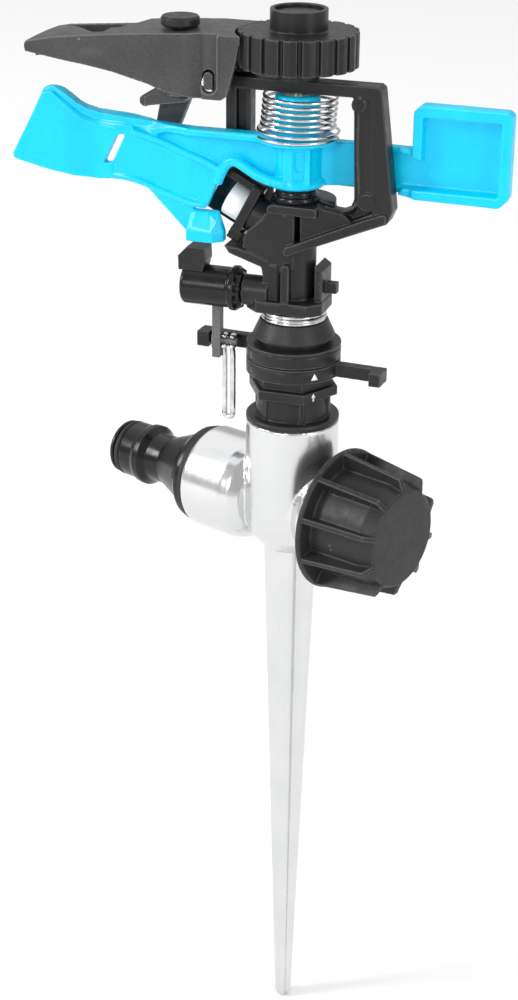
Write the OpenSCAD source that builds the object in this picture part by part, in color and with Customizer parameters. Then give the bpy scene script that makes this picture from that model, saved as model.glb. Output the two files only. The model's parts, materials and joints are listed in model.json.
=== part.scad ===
// Impact sprinkler on a die-cast ground spike.
// Units are millimetres and +Z is up. The origin is on the vertical axis at the spike's shoulder.
// +X runs along the bridge towards the counterweight, and -X is the side the jet leaves from.

/* [Spike and body] */
// outside diameter of the vertical barrel
barrel_d = 24.8; // [20:0.1:32]
// outside diameter of the hose side's drum
drum_d = 28.6; // [26:0.1:32]
// height of the cross tube's axis above the spike's shoulder
port_z = 13.6; // [11:0.1:20]
// direction of the end cap, measured from +X
port_angle = -21; // [-60:1:60]
// top face of the barrel
barrel_top = 38.4; // [34:0.2:50]
// distance from the axis to the inlet port's face
inlet_reach = 28; // [26:0.5:45]
// length of the spike below the shoulder
spike_length = 151; // [100:1:220]
// width of the spike at its shoulder
spike_width = 14; // [10:0.5:22]
// width of the spike at its blunt tip
spike_tip = 4.6; // [3:0.2:8]
// thickness of a spike rib at the shoulder
spike_rib = 4.2; // [2.5:0.1:6]

/* [Hose side] */
// largest diameter of the click nipple, at its locking ridge
nipple_ridge_d = 17.3; // [16:0.1:19]
// diameter of the nipple's sealing land
nipple_land_d = 15.8; // [14:0.1:17]
// outside diameter of the end cap's rear flange
cap_d = 38.6; // [34:0.2:44]
// number of grip fins on the end cap
cap_fins = 10; // [8:1:20]
// thickness of a grip fin
cap_fin_t = 1.5; // [1:0.1:3]
// thread pitch of the end cap
cap_pitch = 1.814; // [1:0.001:3]

/* [Part-circle stops] */
// direction of the upper stop's arm
upper_arm_angle = 176; // [0:1:360]
// direction of the lower stop's arm
lower_arm_angle = -4; // [-180:1:180]
// outside diameter of the stop rings
stop_ring_d = 24.9; // [22:0.1:30]

/* [Head] */
// angle of the jet above the horizontal
jet_angle = 27.5; // [15:0.5:35]
// outside diameter of the nozzle insert
nozzle_d = 9.2; // [7:0.1:12]
// bore of the nozzle insert
nozzle_bore = 4.4; // [2.5:0.1:6]
// thickness of the bridge across its plane
bridge_depth = 5.6; // [4:0.2:10]
// diameter of the steel pin the hammer turns on
hammer_pin_d = 4; // [3:0.1:6]
// diameter over the grips of the tension wheel
wheel_d = 30.2; // [24:0.2:36]
// number of grips on the tension wheel
wheel_grips = 20; // [12:1:30]

/* [Hidden] */
$fn = 72;
// radial running fit between parts that turn on each other
run_fit = 0.05;
stem_r = 5.5;
jet_root = [0, 0, 87.7];
ring_near = 12.45;
ring_far = 14.95;
jet_mouth = 19.95;
trip_y = -3.5;
trip_z = 73.6;
wire_x = -16.7;
hinge_x = -20.7;
hinge_z = 127.6;

// places children on the cross tube's axis, with +Z pointing out of the capped port
module along_ports() {
  rotate([0, 0, port_angle]) translate([0, 0, port_z]) rotate([0, 90, 0]) children();
}

// places children on the jet's axis, with +Z pointing out of the nozzle and +X square to it and up
module along_jet() {
  translate(jet_root) rotate([0, -90 + jet_angle, 0]) children();
}

// extrudes a shape drawn in X and Z to a given depth between two Y values
module across(y_low, y_high) {
  translate([0, y_high, 0]) rotate([90, 0, 0]) linear_extrude(y_high - y_low) children();
}

module washer(r_out, r_in, low, high) {
  translate([0, 0, low]) difference() {
    cylinder(h = high - low, r = r_out);
    translate([0, 0, -1]) cylinder(h = high - low + 2, r = r_in);
  }
}

// ---- spike and body ----

module spike_blade() {
  hull() {
    translate([-spike_width / 2, -spike_rib / 2, -0.5]) cube([spike_width, spike_rib, 4]);
    translate([-spike_tip / 2, -0.9, -spike_length + 1.2]) cube([spike_tip, 1.8, 1]);
    translate([-spike_tip / 2 + 1, -0.7, -spike_length]) cube([spike_tip - 2, 1.4, 1]);
  }
}

module spike_body() color("gainsboro") difference() {
  union() {
    rotate_extrude() polygon([
      [0, 0.6], [5, 0.6], [8.4, 2.2], [11, 5.4], [12.1, 9.2], [barrel_d / 2, 13],
      [barrel_d / 2, barrel_top], [0, barrel_top]
    ]);
    along_ports() rotate_extrude() polygon([
      [0, -inlet_reach], [drum_d / 2 - 0.6, -inlet_reach], [drum_d / 2, -inlet_reach + 0.6],
      [drum_d / 2, -14.4], [13.5, -11.6], [11.6, -9.4], [8.6, -8.2], [8.6, 5], [10.2, 8], [12.4, 11.2],
      [12.8, 14.2],
      [0, 14.2]
    ]);
    along_ports() cylinder(h = 27, r = 10.2);
    rotate([0, 0, 7]) spike_blade();
    rotate([0, 0, 97]) spike_blade();
  }
  translate([0, 0, port_z]) cylinder(h = 40, r = 8.9);
  along_ports() translate([0, 0, -inlet_reach - 1]) cylinder(h = inlet_reach + 35, r = 7.6);
}

module bearing_nipple() color("#1d1e20") difference() {
  union() {
    washer(8.85, 6.6, 24, 29.4);
    washer(7.8, 6.6, 29.3, 30.7);
    washer(8.85, 6.6, 30.6, 38.4);
    rotate_extrude() polygon([
      [6.6, 38.4], [12.4, 38.4], [12.4, 39.6], [12, 40], [9.8, 40], [9.4, 46.2], [6.6, 46.2]
    ]);
    translate([0, 0, 46.2]) cylinder(h = 2.6, r = 12.2, $fn = 6);
    translate([0, 0, 48.7]) cylinder(h = 2.9, r = 10.6, $fn = 6);
    washer(9.3, 6.6, 51.5, 61.4);
    for (a = [0 : 60 : 300]) rotate([0, 0, a]) translate([8.8, -0.7, 40]) cube([1.5, 1.4, 6.4]);
  }
  translate([0, 0, 20]) cylinder(h = 60, r = 6.05);
  translate([0, 0, 24]) cylinder(h = 3.4, r = 7.9);
  for (a = [30 : 60 : 330]) rotate([0, 0, a]) translate([9.9, -0.5, 49.6]) cube([2, 1, 3]);
}

module nipple_seal() color("#101010") translate([0, 0, 30]) rotate_extrude()
  translate([8.35, 0]) circle(r = 0.5, $fn = 32);

module dust_cone() color("#1d1e20") rotate_extrude() polygon([
  [6.1, 61.4], [10.7, 61.4], [10.75, 62], [8.9, 66], [8.7, 66.3], [7.9, 66.3], [7.6, 65],
  [6.1, 64.6]
]);

module hose_nipple() color("#1b1c1e") along_ports() difference() {
  rotate_extrude() polygon([
    [0, -60.8], [6.8, -60.8], [7.6, -60], [7.6, -59.3], [6.1, -58.8], [6.1, -56.9], [7.6, -56.8],
    [nipple_land_d / 2, -56.6], [nipple_land_d / 2, -52.4], [nipple_ridge_d / 2, -50.9],
    [nipple_ridge_d / 2, -49.2], [7, -47.6], [6.8, -43], [8.6, -38.6], [10.6, -34], [12.2, -31.6],
    [13.2, -31.2], [13.2, -29.4], [0, -29.4]
  ]);
  translate([0, 0, -65]) cylinder(h = 40, r = 4.6);
}

module hose_o_ring() color("#101010") along_ports() translate([0, 0, -57.85]) rotate_extrude()
  translate([7, 0]) circle(r = 0.88, $fn = 32);

module hose_gasket() color("#101010") along_ports() washer(13.7, 7.6, -29.4, -inlet_reach);

module cap_gasket() color("#101010") along_ports() difference() {
  washer(14.2, 10.3, 14.25, 16.2);
}

module outlet_cap() color("#1d1e20") along_ports() difference() {
  union() {
    rotate_extrude() polygon([
      [0, 16.2], [15.2, 16.2], [14.9, 33.2], [13.4, 37.3], [0, 37.3]
    ]);
    washer(cap_d / 2, 12, 16.2, 17.5);
    for (a = [0 : 360 / cap_fins : 359]) rotate([90, 0, a]) translate([0, 0, -cap_fin_t / 2])
      linear_extrude(cap_fin_t) polygon([[12.6, 17], [19, 17], [16.6, 34.6], [13.2, 37]]);
  }
  translate([0, 0, 16]) cylinder(h = 12.4, r = 10.2 + run_fit);
}

// ---- part-circle stops ----

module stop_ring(low, high, bore) {
  difference() {
    translate([0, 0, low]) cylinder(h = high - low, r = stop_ring_d / 2);
    translate([0, 0, low - 1]) cylinder(h = high - low + 2, r = bore);
  }
}

module lower_stop() color("#1d1e20") {
  stop_ring(51.8, 55.7, 9.3 + run_fit);
  rotate([0, 0, lower_arm_angle]) translate([11.8, -1.3, 51.9]) cube([11.8, 2.6, 3.6]);
  rotate([0, 0, lower_arm_angle]) translate([22.4, -4.6, 51.9]) cube([3.2, 5.9, 3.6]);
}

module upper_stop() color("#1d1e20") {
  stop_ring(55.9, 60.1, 9.3 + run_fit);
  rotate([0, 0, upper_arm_angle]) translate([11.8, -1.3, 56.1]) cube([12, 2.6, 3.8]);
  rotate([0, 0, upper_arm_angle]) translate([22.6, -1.3, 55.9]) cube([3.4, 5.2, 4.2]);
}

// ---- turning stem ----

module stem_tube() color("#2a2b2d") difference() {
  union() {
    translate([0, 0, 22.6]) cylinder(h = 2, r = 7.6);
    translate([0, 0, 24.5]) cylinder(h = 44.5, r = 6);
    translate([0, 0, 69]) cylinder(h = 13, r = 3.95);
  }
  translate([0, 0, 20]) cylinder(h = 70, r = 2.9);
}

module thrust_washers() color("#e8e6dc") {
  washer(7.6, 6.1, 24.65, 25.5);
  washer(7.6, 6.1, 26.5, 27.35);
}

module stem_seal() color("#141414") washer(7.5, 6.1, 25.5, 26.5);

module bearing_spring() color("silver") for (z = [66.75, 67.65, 68.55])
  translate([0, 0, z]) rotate_extrude() translate([8.1, 0]) circle(r = 0.45, $fn = 24);

// ---- head and bridge ----

// the bridge's full outline, with its window cut out
module bridge_web() {
  difference() {
    polygon([
      [-18, 128.4], [-18, 106.4], [-8.2, 100.9], [-7.4, 100], [-9.3, 96], [-4, 96], [-4, 86],
      [-1.7, 84.2], [6.5, 86.6], [24.6, 94.2], [26, 97.4], [22.2, 127.6], [21.2, 128.4]
    ]);
    polygon([
      [-11.7, 125.3], [-11.7, 105.2], [-7, 101.2], [-6.9, 100.7], [-6.2, 100.2], [-6.2, 97.6], [6.4, 97.6],
      [8.5, 96.6], [12.4, 96.2], [14.8, 97.2], [15.8, 99.7], [15, 125.3]
    ]);
  }
}

// the thick outer band of the bridge
module bridge_band() {
  polygon([[-18, 125.3], [-18, 128.4], [21.2, 128.4], [22.2, 127.6], [22.2, 125.3]]);
  polygon([[19.2, 126], [22.2, 127.6], [26, 97.4], [24.6, 94.2], [20.6, 96.6]]);
  polygon([[24.6, 94.2], [6.5, 86.6], [-1.7, 83.6], [-2.9, 84.6], [-2.6, 86], [21.6, 97]]);
  polygon([[-18, 126], [-15.2, 126], [-15.2, 106.6], [-11.7, 104.4], [-11.7, 103.2], [-18, 106.4]]);
}

// the thin rim round the bridge's window
module bridge_rim() {
  polygon([[15, 125.4], [16.1, 125.4], [16.9, 99.4], [15.8, 99.7]]);
  polygon([
    [15.8, 99.7], [16.9, 99.4], [15.6, 96.4], [12.6, 95.1], [8.2, 95.5], [5, 96.6], [5, 97.6],
    [6.4, 97.6], [8.5, 96.6], [12.4, 96.2], [14.8, 97.2]
  ]);
  polygon([[-11.7, 125.4], [-12.8, 125.4], [-12.8, 105.6], [-11.7, 104.8]]);
}

// the flat web and rails that tie the nozzle barrel to the upright tube
module head_web() {
  across(-1.5, 1.5) polygon([
    [-12.4, 87.4], [-6.6, 80.2], [-6, 71.8], [4, 71.8], [4, 96], [-6, 96], [-8.6, 96.6]
  ]);
  across(-6.2, 4.6) polygon([[-17.4, 85.6], [-16, 83.6], [-6.2, 80.4], [-5.4, 82.4], [-13.2, 85.2]]);
  across(-6.2, 4.6) polygon([[-7.4, 81.6], [-2.9, 81.4], [-2.9, 72], [-5.7, 72]]);
}

// the panel and rail across the front of the upright tube
module head_front() {
  across(-5.9, -3) polygon([
    [-6.4, 95], [-7.2, 93], [-9, 91.4], [-12, 88.4], [-12.4, 85.6], [-5.8, 81.6], [1.2, 81], [1.2, 95]
  ]);
  across(-7, -3) polygon([[-5.6, 95.4], [7.4, 95.2], [7.4, 97.4], [-4.6, 97.5]]);
}

// the half-round pad behind the thrust washers
module thrust_pad() {
  intersection() {
    washer(10.3, 5.95, 96.2, 98.2);
    translate([-3, 0, 95]) cube([20, 20, 5]);
  }
}

module head_plate() {
  translate([0, 0, 69]) linear_extrude(3.2) polygon([
    [-11.6, -4.6], [-8, -8], [5.6, -8], [8.8, -4.8], [8.8, 4.8], [5.6, 8], [-8, 8], [-11.6, 4.6]
  ]);
  translate([6.6, -4.4, 72.1]) cube([2, 8.8, 7.6]);
  across(-4.4, 4.4) polygon([[6.6, 79.6], [8.6, 79.6], [8.6, 80.6], [6.6, 82]]);
  translate([8.4, -1.2, 74]) cube([3.2, 2.4, 3]);
}

module head_body() color("#202123") difference() {
  union() {
    translate([0, 0, 69.5]) cylinder(h = 27, r = stem_r);
    translate([0, 0, 94.4]) cylinder(h = 3.2, r = 6.3);
    along_jet() cylinder(h = ring_near, r = 5.1);
    head_web();
    head_front();
    thrust_pad();
    head_plate();
    across(-1, 1) bridge_web();
    across(-bridge_depth / 2, bridge_depth / 2) bridge_band();
    across(-bridge_depth / 2 + 0.5, bridge_depth / 2 - 0.5) bridge_rim();
    across(-5, 5) polygon([[-17, 125.3], [-17, 128.4], [-23.4, 129.6], [-23.4, 125.6], [-20, 124.4]]);
    translate([-12.3, trip_y, trip_z]) rotate([0, 90, 0]) cylinder(h = 7, r = 4);
  }
  translate([0, 0, 60]) cylinder(h = 29.5, r = 3.95);
  along_jet() cylinder(h = 20, r = 3.4);
  translate([0, 0, 91.5]) cylinder(h = 50, r = hammer_pin_d / 2);
  translate([hinge_x, 20, hinge_z]) rotate([90, 0, 0]) cylinder(h = 40, r = 1.5);
  translate([-14, trip_y, trip_z]) rotate([0, 90, 0]) cylinder(h = 7.5, r = 1.8);
}

module nozzle_insert() color("whitesmoke") along_jet() difference() {
  union() {
    translate([0, 0, 5.6]) cylinder(h = 7, r = 3.38);
    translate([0, 0, ring_near]) cylinder(h = jet_mouth - ring_near, r = nozzle_d / 2);
  }
  translate([0, 0, 4]) cylinder(h = 20, r = nozzle_bore / 2);
}

module nozzle_holder() color("#202123") along_jet() difference() {
  union() {
    translate([-5.3, -5.6, ring_near]) cube([12.7, 12.2, ring_far - ring_near]);
    translate([5.4, -3, ring_near + 0.5]) cube([2, 9.6, 10]);
    translate([-8, 5, ring_near + 0.5]) cube([15.4, 1.6, 12]);
    translate([-8.6, -3.4, ring_near - 0.6]) cube([3.4, 6, 3.6]);
  }
  cylinder(h = 40, r = nozzle_d / 2);
}

module hammer_pin() color("silver") {
  translate([0, 0, 91.5]) cylinder(h = 46.9, r = hammer_pin_d / 2);
}

module hammer_washers() color("#161616") {
  washer(5.9, 2, 97.6, 99.1);
  washer(5.2, 2, 99.1, 100.7);
}

// ---- hammer ----

module hammer_left_arm() {
  intersection() {
    across(-9, 9) polygon([
      [-4, 115.4], [-37, 115.5], [-53, 115.7], [-57, 116.4], [-62.5, 119.4], [-67.2, 121.7],
      [-69.9, 119.8], [-79, 102.2], [-78.2, 101.2], [-63, 98.2], [-58.8, 98.1], [-44.2, 98.8],
      [-38.2, 97.2], [-27.8, 88.2], [-23.1, 93.8], [-18.5, 103.8], [-15.9, 108.9], [-4, 103]
    ]);
    linear_extrude(200) polygon([
      [-4, -5.6], [-27, -5.4], [-46, -1.6], [-62, 0.4], [-80, 1.6], [-80, 4.4], [-62, 3],
      [-46, 1], [-27, -3], [-4, -3]
    ]);
  }
}

// the outline of the counterweight's plate
module counterweight_outline() {
  polygon([
    [29.6, 100.2], [29.6, 122], [33, 123.8], [53.8, 123.4], [54.4, 122.4], [54.4, 102.4],
    [52, 99.6], [29.6, 99.8]
  ]);
}

module hammer() color("deepskyblue") difference() {
  union() {
    translate([0, 0, 101]) cylinder(h = 13.2, r = 6.6);
    translate([0, 0, 112.3]) cylinder(h = 1.4, r = 9.8);
    translate([0, 0, 113.6]) cylinder(h = 11, r = 5.4);
    across(3, 5.3) polygon([[3, 101.2], [3, 112.6], [31, 112.6], [31, 100.6]]);
    across(3.8, 5.4) counterweight_outline();
    across(0.8, 5.4) difference() {
      counterweight_outline();
      polygon([
        [20, 112.4], [33.2, 112.4], [33.2, 120.4], [51.8, 120.2], [51.8, 103.6], [50.6, 102.4],
        [20, 102.4]
      ]);
    }
    hammer_left_arm();
    hammer_ledge();
    spoon();
  }
  translate([0, 0, 95]) cylinder(h = 40, r = 3.2);
  across(-10, 10) polygon([[-45.4, 110.8], [-47, 111.4], [-51.2, 103.6], [-49.4, 103.2]]);
}

// the ledge along the arm's top edge
module hammer_ledge() {
  translate([0, 0, 113.8]) linear_extrude(1.6) polygon([
    [-4, -6.6], [-27, -6.6], [-46, -2.6], [-46, 1.6], [-27, -3], [-4, -3]
  ]);
}

// the vane and spoon that the jet strikes
module spoon() {
  hull() {
    translate([-28, -5.4, 88]) cube([1.4, 2.2, 7]);
    translate([-36, -4.2, 97.4]) cube([1.4, 2.2, 5]);
    translate([-30.4, 0.6, 95.6]) cube([1.4, 2, 6]);
  }
  hull() {
    translate([-28, -7, 85.6]) cube([9.6, 2.6, 1]);
    translate([-27.6, -5.6, 92.4]) cube([4.4, 1.6, 1]);
    translate([-27.8, -2.6, 86.4]) cube([8, 1.2, 1]);
  }
}

module hammer_sleeve() color("ivory") washer(3.2, hammer_pin_d / 2 + run_fit, 101, 124.6);

module hammer_spring() color("silver") for (i = [0 : 7])
  translate([0, 0, 116.1 + i * 1.23]) rotate_extrude()
    translate([10 - i * 0.11, 0]) circle(r = 0.45, $fn = 20);

// ---- tension wheel ----

// broad grips with narrow grooves between them; each pair is a share of a grip and a depth
function wheel_outline() = [
  for (i = [0 : wheel_grips - 1])
    for (p = [[0, 1.2], [0.1, 1.2], [0.14, 0.2], [0.5, 0], [0.86, 0.2], [0.9, 1.2]])
      let (a = (i + p[0]) * 360 / wheel_grips, r = wheel_d / 2 - p[1]) [r * cos(a), r * sin(a)]
];

module tension_wheel() color("#1d1e20") difference() {
  union() {
    translate([0, 0, 128.7]) cylinder(h = 3, r = 5.4);
    translate([0, 0, 131.6]) linear_extrude(8.8) polygon(wheel_outline());
    translate([0, 0, 140.3]) cylinder(h = 5.5, r = 7.2);
  }
  translate([0, 0, 120]) cylinder(h = 18.8, r = hammer_pin_d / 2 + run_fit);
  translate([0, 0, 142.4]) cylinder(h = 5, r = 6.1);
}

module wheel_cap() color("#26272a") translate([0, 0, 142.4]) cylinder(h = 2.3, r = 6.1);

// ---- jet flap ----

module flap_side() {
  polygon([
    [-69, 132.2], [-69.2, 134], [-68.6, 134.9], [-59.8, 136.6], [-48.9, 137.8], [-35.6, 139.1],
    [-22.5, 139.8], [-11.8, 139.8], [-12.7, 134], [-15.2, 124.8], [-16.8, 123.7], [-23.9, 123.7],
    [-31.6, 125], [-35.8, 126.6], [-45.1, 128.7], [-53.2, 130], [-60, 130.9]
  ]);
}

module flap_skin() {
  polygon([
    [-69, 132.2], [-69.2, 134], [-68.6, 134.9], [-59.8, 136.6], [-48.9, 137.8], [-35.6, 139.1],
    [-22.5, 139.8], [-11.8, 139.8], [-11.8, 137.6], [-22.5, 137.6], [-35.6, 136.9],
    [-48.9, 135.5], [-59.8, 134]
  ]);
}

module flap() color("#303134") difference() {
  union() {
    across(-10.6, -8.8) flap_side();
    across(8.8, 10.6) flap_side();
    across(-10.6, 10.6) flap_skin();
    translate([-29.3, -4.5, 135]) cylinder(h = 3, r = 3.6);
  }
  translate([0, 0, 120]) cylinder(h = 30, r = 15.7);
  translate([hinge_x, 20, hinge_z]) rotate([90, 0, 0]) cylinder(h = 40, r = 1.5 + run_fit);
  translate([-29.3, -4.5, 130]) cylinder(h = 20, r = 2 + run_fit);
  translate([-21.6, -10.7, 124.6]) cube([3.4, 0.7, 20]);
  hull() {
    translate([-66, 9.4, 135.6]) cube([1, 2, 6]);
    translate([-52, -2, 136.6]) cube([1, 1, 6]);
    translate([-46, -2, 137.2]) cube([1, 1, 6]);
    translate([-44, 9.4, 137.4]) cube([1, 2, 6]);
  }
}

module flap_pin() color("silver") translate([hinge_x, 10.2, hinge_z]) rotate([90, 0, 0])
  cylinder(h = 20.4, r = 1.5);

module jet_breaker() color("#2a2b2d") {
  difference() {
    union() {
      translate([-29.3, -4.5, 123.2]) cylinder(h = 11.8, r = 3.4);
      across(-4, 8) polygon([[-39.6, 119.2], [-28.6, 121], [-27, 123.6], [-30, 124.4], [-39.4, 121.8]]);
    }
    translate([-29.3, -4.5, 124.2]) cylinder(h = 20, r = 2 + run_fit);
  }
  translate([-39.6, 12, 120.4]) rotate([90, 0, 0]) cylinder(h = 15.2, r = 1.5);
  across(1.8, 4.4) polygon([[-37.2, 120.4], [-28.8, 121.6], [-32.2, 113.4], [-38.6, 113.4]]);
}

module flap_screw() color("#1d1e20") translate([-29.3, -4.5, 0]) {
  translate([0, 0, 125]) cylinder(h = 15.2, r = 2);
  translate([0, 0, 140.1]) cylinder(h = 2.4, r = 4.9);
  translate([0, 0, 142.4]) cylinder(h = 0.5, r1 = 4.9, r2 = 4.2);
}

// ---- trip ----

module trip_axle() color("silver") translate([-29.6, trip_y, trip_z]) rotate([0, 90, 0])
  cylinder(h = 22.9, r = 1.8);

module trip_barrel() color("#1d1e20") translate([0, trip_y, trip_z]) rotate([0, 90, 0]) difference() {
  union() {
    translate([0, 0, -28.8]) cylinder(h = 13.2, r = 5.3);
    translate([0, 0, -15.7]) cylinder(h = 1.8, r = 5.9);
    translate([0, 0, -14]) cylinder(h = 1.4, r = 4.4);
  }
  translate([0, 0, -40]) cylinder(h = 40, r = 1.8 + run_fit);
  translate([0, 0, -26.6]) cylinder(h = 9.6, r = 4.2);
}

module trip_spring() color("silver") translate([0, trip_y, trip_z]) rotate([0, 90, 0])
  for (i = [0 : 6]) translate([0, 0, -26 + i * 1.4]) rotate_extrude()
    translate([3.2, 0]) circle(r = 0.5, $fn = 20);

module reversing_block() color("#202123") {
  difference() {
    across(-6.6, -0.9) polygon([
      [-29.6, 76], [-29.8, 81.6], [-27.4, 84.2], [-22.4, 84.2], [-22.2, 81], [-23.6, 76]
    ]);
    translate([-40, trip_y, trip_z]) rotate([0, 90, 0]) cylinder(h = 30, r = 5.3);
  }
}

module trip_lever() color("#5b5d60") {
  difference() {
    translate([-21, trip_y - 1.4, 57]) cube([2.3, 2.8, 12]);
    translate([-40, trip_y, trip_z]) rotate([0, 90, 0]) cylinder(h = 30, r = 5.3);
  }
  translate([-21.1, trip_y - 1.7, 57]) cube([2.4, 3.4, 3.4]);
  translate([-21.1, trip_y - 1.2, 54.2]) cube([2.2, 2.4, 3]);
  translate([-18.8, trip_y, 58.8]) rotate([0, 90, 0]) cylinder(h = 4.4, r = 0.85);
}

module trip_wire() color("silver") translate([wire_x, trip_y, 0]) {
  for (s = [-1.1, 1.1]) translate([s, 0, 37.4]) cylinder(h = 19.7, r = 0.7, $fn = 24);
  for (s = [-1.1, 1.1]) translate([s, 0, 58.8]) rotate([0, 90, 0]) rotate_extrude()
    translate([1.65, 0]) circle(r = 0.75, $fn = 20);
  translate([-1.9, 0, 37.5]) rotate([0, 90, 0]) cylinder(h = 3.8, r = 0.8, $fn = 24);
}

spike_body();
bearing_nipple();
nipple_seal();
dust_cone();
hose_nipple();
hose_o_ring();
hose_gasket();
cap_gasket();
outlet_cap();
lower_stop();
upper_stop();
stem_tube();
thrust_washers();
stem_seal();
bearing_spring();
head_body();
nozzle_insert();
nozzle_holder();
hammer_pin();
hammer_washers();
hammer();
hammer_sleeve();
hammer_spring();
tension_wheel();
wheel_cap();
flap();
flap_pin();
jet_breaker();
flap_screw();
trip_axle();
trip_barrel();
trip_spring();
trip_lever();
reversing_block();
trip_wire();
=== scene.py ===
import json
import math

import bmesh
import bpy
from mathutils import Matrix, Vector


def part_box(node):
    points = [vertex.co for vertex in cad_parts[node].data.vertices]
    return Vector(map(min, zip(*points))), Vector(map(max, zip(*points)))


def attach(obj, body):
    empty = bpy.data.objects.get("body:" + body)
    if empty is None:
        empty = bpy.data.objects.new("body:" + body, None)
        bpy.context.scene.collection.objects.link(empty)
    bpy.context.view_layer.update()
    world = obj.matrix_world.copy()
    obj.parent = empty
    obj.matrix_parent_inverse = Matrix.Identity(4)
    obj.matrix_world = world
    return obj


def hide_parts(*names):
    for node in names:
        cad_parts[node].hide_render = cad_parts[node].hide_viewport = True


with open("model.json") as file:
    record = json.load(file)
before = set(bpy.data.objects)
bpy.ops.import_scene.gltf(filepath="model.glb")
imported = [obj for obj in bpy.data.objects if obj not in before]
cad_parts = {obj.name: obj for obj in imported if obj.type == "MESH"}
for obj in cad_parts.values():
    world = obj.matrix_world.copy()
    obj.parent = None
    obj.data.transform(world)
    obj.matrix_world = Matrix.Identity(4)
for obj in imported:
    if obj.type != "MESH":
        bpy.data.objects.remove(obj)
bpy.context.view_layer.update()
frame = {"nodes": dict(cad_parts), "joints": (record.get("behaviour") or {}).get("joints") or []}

# Lengths in this script are millimetres unless a name ends in _M, and MM turns them into metres.
# Flat outlines are X and Z unless they are turned, when they are radius and height.
MM = 0.001
NEAR_AXIS = 0.01
WELD = 0.002
NODES = frame["nodes"]
JOINTS = {joint["name"]: joint for joint in frame["joints"]}


def in_mm(vector):
    return [value / MM for value in vector]


# ---- places that the frame gives ----

SPIKE_TIP_Z = in_mm(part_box("spike_body")[0])[2]
HINGE = in_mm(JOINTS["flap_tilt"]["pos_m"])
TRIP_AXIS = in_mm(JOINTS["trip_swing"]["pos_m"])
WIRE_AXIS = in_mm(JOINTS["trip_wire_lift"]["pos_m"])
PORT_AXIS = Vector(JOINTS["cap_turn"]["axis"])
PORT_HEIGHT = in_mm(JOINTS["cap_turn"]["pos_m"])[2]
UP = Matrix.Identity(4)


def port_frame():
    """The cross tube's axis, with +Z pointing out of the capped port."""
    turn = math.atan2(PORT_AXIS.y, PORT_AXIS.x)
    lift = Matrix.Translation((0, 0, PORT_HEIGHT))
    return Matrix.Rotation(turn, 4, "Z") @ lift @ Matrix.Rotation(math.radians(90), 4, "Y")


# ---- outlines ----

def rounded(points, radius, steps=4):
    """The closed outline with each corner turned into a short curve."""
    corners = [Vector(point) for point in points]
    outline = []
    for index, corner in enumerate(corners):
        before = corners[index - 1] - corner
        after = corners[(index + 1) % len(corners)] - corner
        half_turn = before.angle(after) / 2
        cut = min(radius / math.tan(half_turn), 0.45 * before.length, 0.45 * after.length)
        start = corner + before.normalized() * cut
        end = corner + after.normalized() * cut
        for step in range(steps + 1):
            t = step / steps
            outline.append((1 - t) ** 2 * start + 2 * t * (1 - t) * corner + t * t * end)
    return outline


def smooth_path(points, steps=6):
    """A Catmull-Rom curve through 3-D points."""
    knots = [Vector(point) for point in points]
    knots = [2 * knots[0] - knots[1]] + knots + [2 * knots[-1] - knots[-2]]
    path = []
    for index in range(1, len(knots) - 2):
        p0, p1, p2, p3 = knots[index - 1:index + 3]
        for step in range(steps):
            t = step / steps
            path.append(0.5 * (2 * p1 + (p2 - p0) * t + (2 * p0 - 5 * p1 + 4 * p2 - p3) * t ** 2
                               + (3 * p1 - p0 - 3 * p2 + p3) * t ** 3))
    path.append(knots[-2])
    return path


def arc(centre, radius, start, stop, steps):
    """Points on a circle, from one angle in degrees to another."""
    angles = [math.radians(start + (stop - start) * step / steps) for step in range(steps + 1)]
    return [(centre[0] + radius * math.cos(a), centre[1] + radius * math.sin(a)) for a in angles]


def swell(value, middle, width):
    """A smooth hump: 1 in the middle and almost 0 two widths away."""
    return math.exp(-((value - middle) / width) ** 2)


# ---- shells: closed meshes in millimetres ----

def shell(vertices, faces, place=UP):
    """A closed mesh from its points and faces."""
    mesh = bmesh.new()
    made = [mesh.verts.new(place @ Vector(vertex)) for vertex in vertices]
    for face in faces:
        mesh.faces.new([made[index] for index in face])
    bmesh.ops.recalc_face_normals(mesh, faces=mesh.faces)
    return mesh


def stacked(rings, place=UP, closed=False):
    """Skins equal-sized rings of points, and caps the two ends unless the stack is a closed loop."""
    count = len(rings[0])
    faces = []
    for row in range(len(rings) if closed else len(rings) - 1):
        low, high = row * count, (row + 1) % len(rings) * count
        for k in range(count):
            after = (k + 1) % count
            faces.append((low + k, low + after, high + after, high + k))
    if not closed:
        faces.append(tuple(range(count)))
        faces.append(tuple(range((len(rings) - 1) * count, len(rings) * count)))
    return shell([point for ring in rings for point in ring], faces, place)


def prism(outline, front, back, place=UP):
    """An outline drawn in X and Z, with its faces at two Y values."""
    return stacked([[(x, y, z) for x, z in outline] for y in (front, back)], place)


def fine_prism(outline, front, back, slices=24):
    """A prism cut into slices along X, so that it can bend."""
    mesh = prism(outline, front, back)
    low = min(vertex.co.x for vertex in mesh.verts)
    high = max(vertex.co.x for vertex in mesh.verts)
    for index in range(1, slices):
        x = low + (high - low) * index / slices
        geometry = mesh.verts[:] + mesh.edges[:] + mesh.faces[:]
        bmesh.ops.bisect_plane(mesh, geom=geometry, plane_co=(x, 0, 0), plane_no=(1, 0, 0))
    return mesh


def slab(outline, low, high, place=UP):
    """An outline drawn in X and Y, with its faces at two Z values."""
    return stacked([[(x, y, z) for x, y in outline] for z in (low, high)], place)


def block(low, high, place=UP):
    """A box between two opposite corners, for ribs and cuts."""
    return slab([(low[0], low[1]), (high[0], low[1]), (high[0], high[1]), (low[0], high[1])],
                low[2], high[2], place)


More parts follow.
